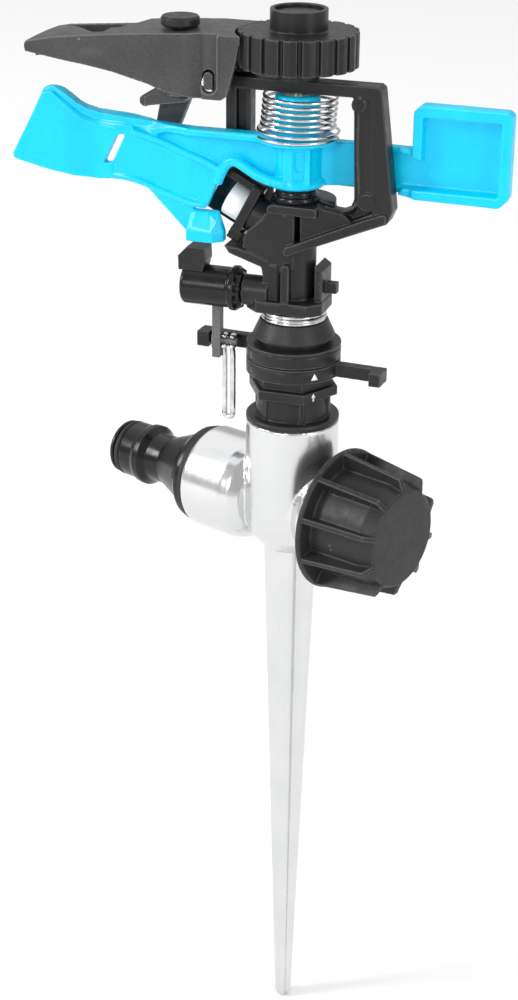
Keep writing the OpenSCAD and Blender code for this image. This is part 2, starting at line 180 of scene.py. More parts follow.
def turned(profile, place=UP, segments=96):
    """Spins a closed outline of (radius, height) about Z. A radius of 0 is kept just off the axis."""
    rings = []
    for step in range(segments):
        a = 2 * math.pi * step / segments
        rings.append([(max(r, NEAR_AXIS) * math.cos(a), max(r, NEAR_AXIS) * math.sin(a), z)
                      for r, z in profile])
    return stacked(rings, place, closed=True)


def disc(radius, low, high, place=UP, segments=96):
    """A round plate about Z between two heights."""
    return slab(arc((0, 0), radius, 0, 360 - 360 / segments, segments - 1), low, high, place)


def tube(path, radius, sides=16, place=UP, closed=False):
    """A round rod along a path, or a ring where the path is closed. The radius may be a list."""
    points = [Vector(point) for point in path]
    count = len(points)
    rings = []
    side = None
    for index, point in enumerate(points):
        ahead = points[(index + 1) % count] if closed or index < count - 1 else point
        behind = points[index - 1] if closed or index > 0 else point
        along = (ahead - behind).normalized()
        if side is None:
            side = along.orthogonal().normalized()
        side = (side - along * side.dot(along)).normalized()
        up = along.cross(side)
        r = radius[index] if isinstance(radius, list) else radius
        rings.append([point + r * (math.cos(a) * side + math.sin(a) * up)
                      for a in (2 * math.pi * k / sides for k in range(sides))])
    return stacked(rings, place, closed)


def cad_shell(node):
    """A welded copy of a CAD node's mesh, in millimetres."""
    mesh = bmesh.new()
    mesh.from_mesh(NODES[node].data)
    bmesh.ops.scale(mesh, vec=(1 / MM,) * 3, verts=mesh.verts)
    bmesh.ops.remove_doubles(mesh, verts=mesh.verts, dist=WELD)
    return mesh


# ---- pieces ----

def to_object(name, mesh):
    """Puts a millimetre shell into the scene in metres."""
    bmesh.ops.scale(mesh, vec=(MM,) * 3, verts=mesh.verts)
    data = bpy.data.meshes.new(name)
    mesh.to_mesh(data)
    mesh.free()
    made = bpy.data.objects.new(name, data)
    bpy.context.scene.collection.objects.link(made)
    return made


def apply_modifiers(piece):
    """Replaces the mesh by what its modifiers make of it."""
    data = bpy.data.meshes.new_from_object(
        piece.evaluated_get(bpy.context.evaluated_depsgraph_get()))
    piece.modifiers.clear()
    old = piece.data
    piece.data = data
    bpy.data.meshes.remove(old)


def combine(piece, shells, operation):
    """Joins shells to the piece, or cuts them out of it, one after the other."""
    for index, mesh in enumerate(shells):
        tool = to_object(f"tool_{index}", mesh)
        step = piece.modifiers.new("combine", "BOOLEAN")
        step.operation = operation
        step.solver = "MANIFOLD"
        step.object = tool
        apply_modifiers(piece)
        data = tool.data
        bpy.data.objects.remove(tool)
        bpy.data.meshes.remove(data)


def shade_smooth(piece):
    for face in piece.data.polygons:
        face.use_smooth = True


def moulded(name, shells, cuts=(), voxel=0.3, rounding=6):
    """One moulded piece: the shells are joined, cut, remeshed finely and their edges softened."""
    piece = to_object(name, shells[0])
    combine(piece, shells[1:], "UNION")
    combine(piece, cuts, "DIFFERENCE")
    remesh = piece.modifiers.new("remesh", "REMESH")
    remesh.mode = "VOXEL"
    remesh.voxel_size = voxel * MM
    relax = piece.modifiers.new("relax", "SMOOTH")
    relax.factor = 0.5
    relax.iterations = rounding
    apply_modifiers(piece)
    shade_smooth(piece)
    return piece


def reshape(piece, shift):
    """Moves each vertex by what shift(x, y, z) says, in millimetres."""
    for vertex in piece.data.vertices:
        vertex.co += Vector(shift(*in_mm(vertex.co))) * MM
    return piece


def crisp(name, shells):
    """A piece of clean turned or swept shells, put together without remeshing."""
    whole = shells[0]
    for extra in shells[1:]:
        data = bpy.data.meshes.new("part")
        extra.to_mesh(data)
        extra.free()
        whole.from_mesh(data)
        bpy.data.meshes.remove(data)
    piece = to_object(name, whole)
    shade_smooth(piece)
    return piece


def finish(piece, material, body, slot, *nodes):
    """Gives a piece its material and its body, and hides the CAD nodes it stands for; the slot argument
    is not used.
    """
    piece.data.materials.clear()
    piece.data.materials.append(material)
    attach(piece, body)
    if nodes:
        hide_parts(*nodes)
    return piece


# ---- materials ----

def blank_material(name, colour, roughness, metallic=0.0):
    """A new material with its node tree's nodes, links and surface shader."""
    material = bpy.data.materials.new(name)
    material.use_nodes = True
    surface = material.node_tree.nodes["Principled BSDF"]
    surface.inputs["Base Color"].default_value = (*colour, 1)
    surface.inputs["Roughness"].default_value = roughness
    surface.inputs["Metallic"].default_value = metallic
    return material, material.node_tree.nodes, material.node_tree.links, surface


def noise(nodes, links, size, detail=4.0, stretch=(1, 1, 1)):
    """Noise whose features are about the given size in millimetres."""
    place = nodes.new("ShaderNodeTexCoord")
    mapping = nodes.new("ShaderNodeMapping")
    mapping.inputs["Scale"].default_value = stretch
    texture = nodes.new("ShaderNodeTexNoise")
    texture.inputs["Scale"].default_value = 1 / (size * MM)
    texture.inputs["Detail"].default_value = detail
    links.new(place.outputs["Object"], mapping.inputs["Vector"])
    links.new(mapping.outputs["Vector"], texture.inputs["Vector"])
    return texture.outputs["Fac"]


def span(nodes, links, value, low, high, from_low=0.3, from_high=0.7):
    """Maps a noise value to a range of numbers."""
    ranged = nodes.new("ShaderNodeMapRange")
    ranged.inputs["From Min"].default_value = from_low
    ranged.inputs["From Max"].default_value = from_high
    ranged.inputs["To Min"].default_value = low
    ranged.inputs["To Max"].default_value = high
    links.new(value, ranged.inputs["Value"])
    return ranged.outputs["Result"]


def two_tone(nodes, links, factor, first, second):
    """A colour between two, chosen by a factor from 0 to 1."""
    mix = nodes.new("ShaderNodeMix")
    mix.data_type = "RGBA"
    mix.inputs["A"].default_value = (*first, 1)
    mix.inputs["B"].default_value = (*second, 1)
    links.new(factor, mix.inputs["Factor"])
    return mix.outputs["Result"]


def roughen(nodes, links, surface, heights):
    """Stacks bump maps, each a noise value and a depth in millimetres."""
    normal = None
    for value, depth in heights:
        bump = nodes.new("ShaderNodeBump")
        bump.inputs["Strength"].default_value = 1.0
        bump.inputs["Distance"].default_value = depth * MM
        links.new(value, bump.inputs["Height"])
        if normal:
            links.new(normal, bump.inputs["Normal"])
        normal = bump.outputs["Normal"]
    links.new(normal, surface.inputs["Normal"])


def rubbed_and_highlit_edges(nodes, links, sharp=0.51, blunt=0.56):
    """1 on sharp edges, painted paler both as rubbed wear and as a painted highlight; 0 elsewhere."""
    geometry = nodes.new("ShaderNodeNewGeometry")
    return span(nodes, links, geometry.outputs["Pointiness"], 0.0, 1.0, sharp, blunt)


PLASTIC_SHEEN = 0.3
FLOW_SIZE = 9
SPECK_SIZE = 0.28
SCUFF_SIZE = 2.5


def plastic(name, colour, edge_wear_and_highlight, roughness, grain, grain_depth, mottle=0.16, ripple_depth=0.015):
    """Moulded plastic: flow mottling, a fine spark-eroded grain and edges painted paler, partly as rubbed
    wear and partly as a painted highlight.
    """
    material, nodes, links, surface = blank_material(name, colour, roughness)
    surface.inputs["Specular IOR Level"].default_value = PLASTIC_SHEEN
    flow = noise(nodes, links, FLOW_SIZE, 3)
    fine = noise(nodes, links, grain, 2)
    deep = tuple((1 - mottle) * part for part in colour)
    pale = tuple(min(1.0, (1 + mottle) * part) for part in colour)
    mottled = two_tone(nodes, links, span(nodes, links, flow, 0, 1), deep, pale)
    mix = nodes.new("ShaderNodeMix")
    mix.data_type = "RGBA"
    mix.inputs["B"].default_value = (*edge_wear_and_highlight, 1)
    # Sharp edges take the paler edge colour: partly rubbed wear, partly a painted highlight.
    links.new(rubbed_and_highlit_edges(nodes, links), mix.inputs["Factor"])
    links.new(mottled, mix.inputs["A"])
    speck = noise(nodes, links, SPECK_SIZE, 2)
    grit = nodes.new("ShaderNodeMix")
    grit.data_type = "RGBA"
    grit.blend_type = "MULTIPLY"
    links.new(mix.outputs["Result"], grit.inputs["A"])
    links.new(span(nodes, links, speck, 1 - 2 * mottle, 1 + 2 * mottle), grit.inputs["B"])
    grit.inputs["Factor"].default_value = 1.0
    links.new(grit.outputs["Result"], surface.inputs["Base Color"])
    scuffs = noise(nodes, links, SCUFF_SIZE, 5)
    links.new(span(nodes, links, scuffs, roughness - 0.06, roughness + 0.08),
              surface.inputs["Roughness"])
    roughen(nodes, links, surface, [(flow, ripple_depth), (fine, grain_depth)])
    return material


ZINC_DULL = (0.68, 0.685, 0.69)
ZINC_BRIGHT = (0.74, 0.74, 0.745)


def polished_zinc():
    """Polished die-cast zinc: soft orange peel, faint tarnish and hairline buffing marks."""
    material, nodes, links, surface = blank_material("polished_zinc", ZINC_BRIGHT, 0.16, 0.95)
    peel = noise(nodes, links, 5, 2)
    buffing = noise(nodes, links, 1.2, 6, (1, 1, 0.06))
    tarnish = noise(nodes, links, 16, 4)
    tone = two_tone(nodes, links, span(nodes, links, tarnish, 0, 1), ZINC_DULL, ZINC_BRIGHT)
    links.new(tone, surface.inputs["Base Color"])
    links.new(span(nodes, links, buffing, 0.19, 0.27), surface.inputs["Roughness"])
    roughen(nodes, links, surface, [(peel, 0.008), (buffing, 0.001)])
    return material


def drawn_steel():
    """Drawn stainless wire: bright, with fine die lines and a little darkening."""
    material, nodes, links, surface = blank_material("drawn_steel", (0.72, 0.72, 0.72), 0.2, 1.0)
    lines = noise(nodes, links, 0.5, 6, (0.2, 0.2, 1))
    stain = noise(nodes, links, 3, 3)
    tone = two_tone(nodes, links, span(nodes, links, stain, 0, 1), (0.55, 0.54, 0.52), (0.8, 0.8, 0.81))
    links.new(tone, surface.inputs["Base Color"])
    links.new(span(nodes, links, lines, 0.12, 0.3), surface.inputs["Roughness"])
    roughen(nodes, links, surface, [(lines, 0.01)])
    return material


def moulded_rubber():
    """Black rubber with a faint grey bloom."""
    material, nodes, links, surface = blank_material("moulded_rubber", (0.01, 0.01, 0.01), 0.6)
    bloom = noise(nodes, links, 3, 4)
    fine = noise(nodes, links, 0.25, 2)
    tone = two_tone(nodes, links, span(nodes, links, bloom, 0, 1), (0.008, 0.008, 0.008),
                    (0.02, 0.02, 0.021))
    links.new(tone, surface.inputs["Base Color"])
    links.new(span(nodes, links, bloom, 0.5, 0.72), surface.inputs["Roughness"])
    roughen(nodes, links, surface, [(fine, 0.02)])
    return material


# The second colour of each plastic is its edge colour, painted paler as rubbed wear and as a painted
# highlight.
BLACK = plastic("black_plastic", (0.014, 0.014, 0.015), (0.075, 0.075, 0.077), 0.34, 0.3, 0.035)
GLOSSY_BLACK = plastic("glossy_black_plastic", (0.008, 0.008, 0.009), (0.035, 0.035, 0.036), 0.22, 0.5,
                       0.012)
GREY_BLACK = plastic("grey_black_plastic", (0.055, 0.055, 0.057), (0.16, 0.16, 0.163), 0.38, 0.3, 0.06)
CAP_BLACK = plastic("cap_black_plastic", (0.022, 0.022, 0.023), (0.09, 0.09, 0.092), 0.42, 0.4, 0.04)
WORN_GREY = plastic("worn_grey_plastic", (0.12, 0.123, 0.128), (0.2, 0.2, 0.2), 0.5, 0.3, 0.06)
BLUE = plastic("blue_plastic", (0.0, 0.57, 0.87), (0.03, 0.66, 0.93), 0.3, 0.6, 0.008, mottle=0.05)
SCUFFED_BLUE = plastic("scuffed_blue_plastic", (0.1, 0.7, 0.93), (0.3, 0.8, 1.0), 0.25, 0.5, 0.12,
                       mottle=0.1)
WHITE = plastic("white_plastic", (0.82, 0.82, 0.81), (0.9, 0.9, 0.9), 0.38, 0.5, 0.006, mottle=0.02)
NATURAL = plastic("natural_plastic", (0.72, 0.70, 0.62), (0.8, 0.78, 0.7), 0.4, 0.5, 0.006, mottle=0.03)
ZINC = polished_zinc()
STEEL = drawn_steel()
RUBBER = moulded_rubber()


# ---- spike, body and hose side ----

PORT = port_frame()

finish(moulded("cast_body", [cad_shell("spike_body")], voxel=0.4, rounding=4),
       ZINC, "base", "zinc", "spike_body")

finish(moulded("bearing_nipple_body", [cad_shell("bearing_nipple")], voxel=0.22, rounding=3),
       BLACK, "base", "black_plastic", "bearing_nipple")

CONE = rounded([(6.3, 61.5), (10.6, 61.5), (10.7, 62.2), (8.9, 66.1), (8.3, 66.3), (7.9, 66.2),
                (6.3, 63)], 0.4)
finish(crisp("dust_cone_skirt", [turned(CONE)]), CAP_BLACK, "base", "black_plastic", "dust_cone")

NIPPLE = rounded([(4.6, -60.8), (6.8, -60.8), (7.6, -60), (7.6, -59.3), (6.1, -58.8), (6.1, -56.9),
                  (7.6, -56.8), (7.9, -56.5), (7.9, -52.4), (8.62, -50.9), (8.62, -49.2), (7, -47.6),
                  (6.8, -43), (8.6, -38.6), (10.6, -34), (12.2, -31.6), (13.2, -31.2), (13.2, -29.45),
                  (4.6, -29.45)], 0.4)
finish(crisp("hose_nipple_body", [turned(NIPPLE, PORT)]), GLOSSY_BLACK, "base", "black_plastic",
       "hose_nipple")


# ---- end cap ----

CAP_CORE = rounded([(10.3, 16.25), (19, 16.25), (19.25, 16.6), (19.15, 17.3), (18.6, 17.7), (14.7, 18),
                    (14.4, 33.1), (13.3, 36.8), (12.8, 37.2), (6, 37.3), (0, 37.3), (0, 28.4),
                    (10.3, 28.4)], 0.3)
CAP_FIN = rounded([(12.6, 17), (19.1, 17), (16.75, 35.4), (16.5, 35.8), (13.0, 37.2), (12.2, 37.1)], 0.3)
CAP_FINS = 10
CAP_FIN_HALF = 0.72


def cap_fin(index):
    """One grip fin, at its place round the cap."""
    turn = PORT @ Matrix.Rotation(math.radians(360 / CAP_FINS * index), 4, "Z")
    return stacked([[(x, side * CAP_FIN_HALF, z) for x, z in CAP_FIN] for side in (-1, 1)], turn)


finish(moulded("cap_shell", [turned(CAP_CORE, PORT)] + [cap_fin(index) for index in range(CAP_FINS)],
               voxel=0.24, rounding=2),
       CAP_BLACK, "outlet_cap", "black_plastic", "outlet_cap")


# ---- part-circle stops ----

STOP_RADIUS = 12.45
STOP_GROOVE = 0.24
MARK_DEPTH = 0.45
MARK_HEIGHT = 0.05


def ring_grooves(*heights):
    """Fine grooves round a stop ring, which leave a rim above and below."""
    circle = arc((0, 0), STOP_RADIUS, 0, 355, 71)
    return [tube([(x, y, z) for x, y in circle], STOP_GROOVE, 8, closed=True) for z in heights]


def mark(name, radius, outline, body):
    """A raised printed mark on an upright round face; the outline is in degrees and heights."""
    layers = [[(r * math.cos(math.radians(a)), r * math.sin(math.radians(a)), z) for a, z in outline]
              for r in (radius - MARK_DEPTH, radius + MARK_HEIGHT)]
    finish(crisp(name, [stacked(layers)]), WHITE, body, "white_plastic")


finish(moulded("lower_stop_ring", [cad_shell("lower_stop")], ring_grooves(52.5, 55.0), voxel=0.22,
               rounding=3), BLACK, "lower_stop", "black_plastic", "lower_stop")
finish(moulded("upper_stop_ring", [cad_shell("upper_stop")], ring_grooves(56.6, 59.2), voxel=0.22,
               rounding=3), BLACK, "upper_stop", "black_plastic", "upper_stop")
mark("stop_mark", STOP_RADIUS, [(-51.2, 52.9), (-42.2, 52.9), (-46.8, 54.7)], "lower_stop")
mark("position_arrow", 11.05, [(-45.1, 46.5), (-42.9, 46.5), (-42.9, 47.5), (-40.9, 47.5), (-44, 48.6),
                               (-47.1, 47.5), (-45.1, 47.5)], "base")


# ---- springs and wire ----

def helix(radii, low, high, turns, lean=0.0, flat=0.75, steps=40):
    """A left-hand coil with flat end turns. radii gives the radius at each turn; the last one goes on."""
    path = []
    for index in range(int(turns * steps) + 1):
        turn = index / steps
        rise = min(max((turn - flat) / (turns - 2 * flat), 0), 1)
        whole = min(int(turn), len(radii) - 2)
        share = min(turn - whole, 1)
        radius = radii[whole] + (radii[whole + 1] - radii[whole]) * share
        height = low + (high - low) * rise
        a = -2 * math.pi * turn
        path.append((radius * math.cos(a) + lean * (height - low), radius * math.sin(a), height))
    return path


BEARING_WIRE = 0.45
HAMMER_WIRE = 0.4
bearing_coil = helix((8.1, 8.1), low=66.8, high=68.5, turns=2.6)
hammer_coil = helix((10.6, 10.4, 9.3, 9.2), low=114.4, high=124.8, turns=7.9, lean=0.08, flat=0.3)
finish(crisp("bearing_spring_coil", [tube(bearing_coil, BEARING_WIRE)]), STEEL, "head", "steel",
       "bearing_spring")
finish(crisp("hammer_spring_coil", [tube(hammer_coil, HAMMER_WIRE)]), STEEL, "hammer", "steel",
       "hammer_spring")

HAIRPIN_EYE = 1.55
HAIRPIN_HALF = 1.15
HAIRPIN_BEND_Z = 38.6
HAIRPIN_WIRE = 0.72


def wire_loop():
    """The hairpin: two legs joined by a bend below, each ending in an eye round the lever's peg."""
    x, y, z = WIRE_AXIS
    eye, half = HAIRPIN_EYE, HAIRPIN_HALF
    right = [(x + half, y + eye * math.sin(a), z + eye * math.cos(a))
             for a in [math.radians(-40 + 18 * k) for k in range(16)]]
    leg_top, leg_foot = z - 4, HAIRPIN_BEND_Z + 1.4
    bend = [(x + half * math.cos(a), y, HAIRPIN_BEND_Z - half * math.sin(a))
            for a in [math.pi * k / 10 for k in range(11)]]
    left = [(2 * x - px, py, pz) for px, py, pz in reversed(right)]
    legs = [[(x + side * half, y, leg_top), (x + side * half, y, leg_foot)] for side in (1, -1)]
    return smooth_path(right + legs[0] + bend + legs[1][::-1] + left, 3)


finish(crisp("trip_hairpin", [tube(wire_loop(), HAIRPIN_WIRE, 12)]), STEEL, "trip_wire", "steel",
       "trip_wire")


# ---- head and bridge ----

# each mark is its x, z, front face and radius
EJECTOR_MARKS = [(16.5, 123.6, -3.05, 1.6), (19.2, 99.3, -3.05, 2.0), (5.3, 93.6, -5.6, 1.6),
                 (6.9, 96.6, -7.0, 0.7)]
DOWN = Matrix.Rotation(math.radians(-90), 4, "X")
RAIL = rounded([(-5.6, 95.5), (7.4, 95.2), (7.5, 97.5), (-4.4, 97.7), (-5.7, 97)], 1.0)
PANEL = rounded([(-5.6, 96.6), (-6.2, 94), (-8.4, 92.3), (-11.4, 89.8), (-11.6, 87.9), (-9.6, 86.4),
                 (-4.8, 82.2), (-4.6, 70.5), (-2.4, 70.5), (-2.2, 80), (1.4, 80.6), (1.4, 96)], 0.7)
SHOULDER = rounded([(2.6, 97.3), (8, 97.2), (13.5, 96), (16, 93.6), (2.6, 87.2)], 0.5)
COLUMN = rounded([(16.6, 98.4), (16.6, 122.8), (18, 125.2), (20.8, 125.2), (22, 98.4)], 0.5)
POST = rounded([(-1.5, 71), (-1.5, 81.5), (-0.9, 82.2), (0.4, 82.2), (0.7, 81.5), (0.7, 71)], 0.3)
LOWER_BAR = rounded([(-1.3, 85.7), (-0.6, 86.9), (3, 88.5), (19.1, 95.2), (24.6, 97.2), (24.5, 94.3),
                     (19.2, 92.4), (3, 86.0), (0.2, 84.6), (-0.9, 84.8)], 0.9)
LIP = [(16.5, -2.6, 123.4), (16.6, -2.6, 112), (17.2, -2.6, 100.6), (16.2, -2.6, 98.2),
       (13.9, -2.7, 96.8), (11.2, -2.9, 96.6), (8.6, -3.4, 97.4)]
BAR_LEAN = 3.6
BAR_START = 3
BAR_RUN = 19
LIP_RADIUS = 0.5
MARK_GROOVE = 0.16


def bar_front(mesh):
    """Leans the lower bar's front face back, from in front of the tube to the bridge's far corner."""
    for vertex in mesh.verts:
        if vertex.co.y < -1:
            vertex.co.y += BAR_LEAN * min(1, max(0, (vertex.co.x - BAR_START) / BAR_RUN))
    return mesh


def head_details():
    """What the head has beyond its CAD shape: rail, panel, post, bar, shoulder, column web and lip."""
    bar = bar_front(fine_prism(LOWER_BAR, -7.4, 0))
    shoulder = bar_front(fine_prism(SHOULDER, -5.8, 0))
    column = fine_prism(COLUMN, -2.45, 0)
    bosses = []
    for x, z, front, r in EJECTOR_MARKS[:2]:
        boss = rounded([(0, 0), (r + 0.3, 0), (r + 0.3, 3), (0, 3)], 0.2)
        bosses.append(turned(boss, Matrix.Translation((x, front, z)) @ DOWN))
    return [prism(RAIL, -7, 0), prism(PANEL, -5.9, 0), prism(POST, -7.7, -3), bar, shoulder, column,
            tube(smooth_path(LIP, 4), LIP_RADIUS, 10)] + bosses


def head_cuts():
    """The slot beside the tube, the step under the rail and a groove round each ejector mark."""
    slot = block((1.35, -8, 88.2), (2.9, -2.0, 94.9))
    under_rail = block((-9, -9, 92.4), (7.9, -5.95, 95.25))
    rings = []
    for x, z, front, r in EJECTOR_MARKS:
        circle = arc((0, 0), r, 0, 354, 59)
        groove = [(x + dx, front - 0.05, z + dz) for dx, dz in circle]
        rings.append(tube(groove, MARK_GROOVE, 8, closed=True))
    return [under_rail, slot] + rings


finish(moulded("head_casting", [cad_shell("head_body")] + head_details(), head_cuts(), voxel=0.24,
               rounding=3), BLACK, "head", "black_plastic", "head_body")

WASHERS = rounded([(2, 97.7), (6, 97.7), (6.1, 98.4), (5.9, 99.1), (5.2, 99.3), (5.3, 99.9),
                   (5.1, 100.6), (2, 100.6)], 0.4)
finish(crisp("washer_stack", [turned(WASHERS)]), GLOSSY_BLACK, "head", "black_plastic", "hammer_washers")


# ---- nozzle ----

JET_ORIGIN_Z = 87.7
JET_LEAN = 62.5


def jet_frame():
    """The jet's axis, with +Z pointing out of the nozzle and +X square to it and up."""
    return Matrix.Translation((0, 0, JET_ORIGIN_Z)) @ Matrix.Rotation(math.radians(-JET_LEAN), 4, "Y")


JET = jet_frame()
INSERT = rounded([(2.2, 5), (3.35, 5), (3.35, 12.5), (4.55, 12.5), (4.58, 19.6), (4.3, 19.9),
                  (2.4, 19.9), (2.2, 19.4)], 0.3)
finish(crisp("nozzle_nose", [turned(INSERT, JET)]), WHITE, "head", "white_plastic", "nozzle_insert")
finish(moulded("nozzle_shroud", [cad_shell("nozzle_holder")], voxel=0.22, rounding=3),
       GLOSSY_BLACK, "head", "black_plastic", "nozzle_holder")


# ---- hammer ----

BEND_START_X = -27
BEND_DEPTH = 7.4
BEND_LENGTH = 28
WAIST_X = -54
WAIST_DEPTH = 0.8
WAIST_WIDTH = 4.5


def drifted(mesh):
    """Bends a shell of the left arm back from the hub, as the arm runs out to its paddle."""
    for vertex in mesh.verts:
        reach = max(0, BEND_START_X - vertex.co.x)
        bend = BEND_DEPTH * (1 - math.exp(-reach / BEND_LENGTH))
        vertex.co.y += bend + WAIST_DEPTH * swell(vertex.co.x, WAIST_X, WAIST_WIDTH)
    return mesh


ARM_WEB = rounded([(-3, 115.2), (-37, 115.2), (-53, 115.5), (-57, 116.2), (-60, 117.6), (-63.5, 120),
                   (-66.4, 121.4), (-69.4, 120.4), (-78.9, 102.2), (-78.2, 101.2), (-68, 99.2),
                   (-61, 98.4), (-54, 98.2), (-46, 98.9), (-40, 98.2), (-31, 95.6), (-22.6, 94.2),
                   (-18.4, 103.9), (-15.4, 108.3), (-3, 103)], 1.6)
PADDLE = rounded([(-66.4, 120.2), (-69.2, 119.6), (-78.9, 102.2), (-78.2, 101.2), (-68, 99.2),
                  (-61, 98.4), (-54, 98.2), (-50, 98.6), (-49.6, 104), (-46, 112), (-52, 112.2),
                  (-56, 112.8), (-60, 114.4), (-63.6, 117.2)], 1.6)
VANE = rounded([
    (-46, 112), (-42.3, 111.4), (-36.9, 111), (-30.1, 109.4), (-25.3, 108), (-20.8, 106.3), (-18.4, 104),
    (-22.6, 94.4), (-31, 95.6), (-40, 98.2), (-46, 98.9), (-50, 98.6), (-49.6, 104)], 0.8)
GUSSET = rounded([(-40, 97.9), (-27.6, 87.4), (-26.4, 88), (-26, 95), (-36, 98.4)], 0.5)
SLOT = [(-45.7, 110.9), (-48.2, 110.6), (-52.4, 102.6), (-50.4, 102.9), (-49.3, 103.9)]
# each row is a place along the arm, the brim's lower and upper edge, and how far its top leans back
BRIM = [(-69.6, 118.4, 120.4, 1.2), (-68.2, 118.6, 121.1, 1.5), (-66, 118.2, 121.2, 2.0),
        (-63.9, 116.9, 120.4, 2.6), (-61.1, 115, 118.4, 3.0), (-59.2, 113.6, 117.1, 3.2),
        (-56.8, 112.6, 116.3, 3.3), (-54.4, 112, 115.8, 3.3), (-50.5, 111.8, 115.8, 3.2),
        (-46.1, 111.9, 115.9, 2.9), (-42.3, 111.5, 115.7, 2.4), (-39, 111.5, 115.5, 1.8),
        (-36.6, 112.3, 115.3, 1.2), (-34, 113.4, 115.2, 0.7), (-31, 113.7, 115.2, 0.4),
        (-25, 113.7, 115.2, 0.3), (-14, 113.6, 115.2, 0.3), (-3, 113.4, 115.2, 0.3)]
RIDGE = [(-43.6, -5.7, 112.3), (-41, -5.8, 111.7), (-36.9, -5.9, 110.9), (-33, -5.9, 110),
         (-30.1, -5.9, 109.1), (-25.3, -5.9, 107.8), (-20.8, -5.9, 106.1), (-18.2, -5.9, 104.6)]
LOWER_RIM = [(-58, -4.6, 99.2), (-50, -5, 99.6), (-44.4, -5.5, 99.6), (-40, -5.7, 98.9),
             (-36, -5.7, 97.8), (-31, -5.7, 96.6), (-26, -5.6, 95.6), (-22.8, -5.4, 95.4)]
HOOD = [(-19.4, -5.2, 101.6), (-18.3, -5.7, 104), (-16.8, -6.1, 106.6), (-14.9, -6.4, 107.8),
        (-12.9, -6.6, 107.4), (-9.6, -6.8, 105.6), (-5.8, -6.9, 104), (-1, -6.7, 103)]
BRIM_FRONT_Y = -7.0
BRIM_THICKNESS = 1.3


def brim():
    """The flange along the arm's top edge: upright near the hub and leaning back towards the paddle."""
    edges = smooth_path([(x, low, high) for x, low, high, lean in BRIM], 4)
    leans = smooth_path([(x, lean, 0) for x, low, high, lean in BRIM], 4)
    rings = []
    for (x, low, high), (_, lean, _) in zip(edges, leans):
        reach = min(1, max(0, (BEND_START_X - x) / 12))
        front = BRIM_FRONT_Y + 1.2 * reach
        rings.append([
            (x, front, low), (x, front + 0.1 * lean, low + 0.35 * (high - low)), (x, front + lean, high),
            (x, front + lean + BRIM_THICKNESS, high), (x, -3, low - 0.4), (x, front + 0.7, low - 0.7)])
    return stacked(rings)


def spoon_block():
    """The wedge under the spoon, which the jet strikes."""
    low = [(-27.4, -7.1), (-20.2, -7.1), (-17.8, -4.8), (-17.8, -2.6), (-27.4, -2.6)]
    high = [(-26.4, -4.7), (-22.2, -4.9), (-19.6, -3.9), (-19.6, -2.8), (-26.4, -2.8)]
    return stacked([[(x, y, 85.9) for x, y in low], [(x, y, 88.6) for x, y in low],
                    [(x, y, 93.8) for x, y in high]])


def spoon_facet():
    """The thin scuffed face on the spoon's front."""
    rim = rounded([(-26.9, 89.2), (-20.6, 88.8), (-19.3, 91.4), (-22.2, 93.4), (-26.4, 93.2)], 0.7)
    plane = [(x, -7.15 + 0.46 * (z - 88.6) + 0.05 * max(0, x + 21), z) for x, z in rim]
    return stacked([plane, [(x, y + 0.7, z) for x, y, z in plane]])


HUB_RADIUS = 6.4
HUB_FOOT = [(0, 101.4), (6.6, 101.4), (7.5, 102.2), (7.4, 103.2), (6.6, 104), (0, 104.2)]
HUB_COLLAR = [(0, 112), (8.4, 112.5), (10, 113.1), (10.25, 113.6), (9.9, 114.1), (0, 114.3)]
HUB_GUIDE = [(0, 114), (6.3, 114), (5.8, 114.8), (5.7, 124.3), (5.3, 124.75), (0, 124.8)]
CHEEK_FADE = 4.2
ARM_FRONT_Y = 3.0


def hub():
    """The hub with its foot, collar, spring guide, ribs and the cheek that fades into the right arm."""
    barrel = disc(HUB_RADIUS, 101.6, 114)
    foot = turned(rounded(HUB_FOOT, 0.6))
    collar = turned(rounded(HUB_COLLAR, 0.5))
    guide = turned(rounded(HUB_GUIDE, 0.4))
    ribs = [block((-1.5, -7.1, 102.5), (1.0, -4, 113)), block((3.9, -6.0, 103), (5.2, -1, 112.8))]
    cheek = fine_prism([(3.6, 101.9), (3.6, 112.8), (27, 112.8), (27, 101.4)], -3.4, 4)
    for vertex in cheek.verts:
        if vertex.co.y < 0:
            vertex.co.y = ARM_FRONT_Y - HUB_RADIUS * math.exp((3.6 - vertex.co.x) / CHEEK_FADE)
    return [barrel, foot, collar, guide, cheek] + ribs


def right_arm():
    """The flat arm to the counterweight, with its top lip and an ejector ring."""
    outline = rounded([(2, 101.6), (2, 112.9), (20, 112.9), (31, 112.7), (31, 100.9), (20, 101.2)], 0.4)
    lip = block((5, 2.7, 112), (30, 4, 112.85))
    ring = [(8.2 + dx, 2.95, 109.2 + dz) for dx, dz in arc((0, 0), 2.2, 0, 354, 59)]
    return [prism(outline, 3.1, 5.3), lip, tube(ring, 0.22, 8, closed=True)]


WEIGHT = rounded([(29.4, 100.1), (29.4, 122.3), (31.4, 124), (53, 123.8), (54.2, 122.8), (54.2, 102.2),
                  (51.8, 99.8)], 1.1)
WEIGHT_FIELD = rounded([(20, 103), (20, 111.4), (28, 111.4), (32.1, 110.2), (32.1, 120.6), (51.2, 120.6),
                        (51.2, 102.8)], 0.5)
WEIGHT_MIDDLE = (41.6, 111.7)
WEIGHT_FIELD_Y = 3.9
FIELD_DRAFT = (1.05, 1.06)


def counterweight():
    """The counterweight's block and the two small gussets where the arm meets it."""
    rim = [prism(WEIGHT, 0.9, 5.35)]
    rim.append(prism(rounded([(25.6, 112.7), (26.8, 111.2), (30, 111), (30, 112.7)], 0.4), 1.6, 5))
    rim.append(prism(rounded([(25.6, 100.9), (27, 102.6), (30, 102.8), (30, 100.1)], 0.4), 1.6, 5))
    return rim


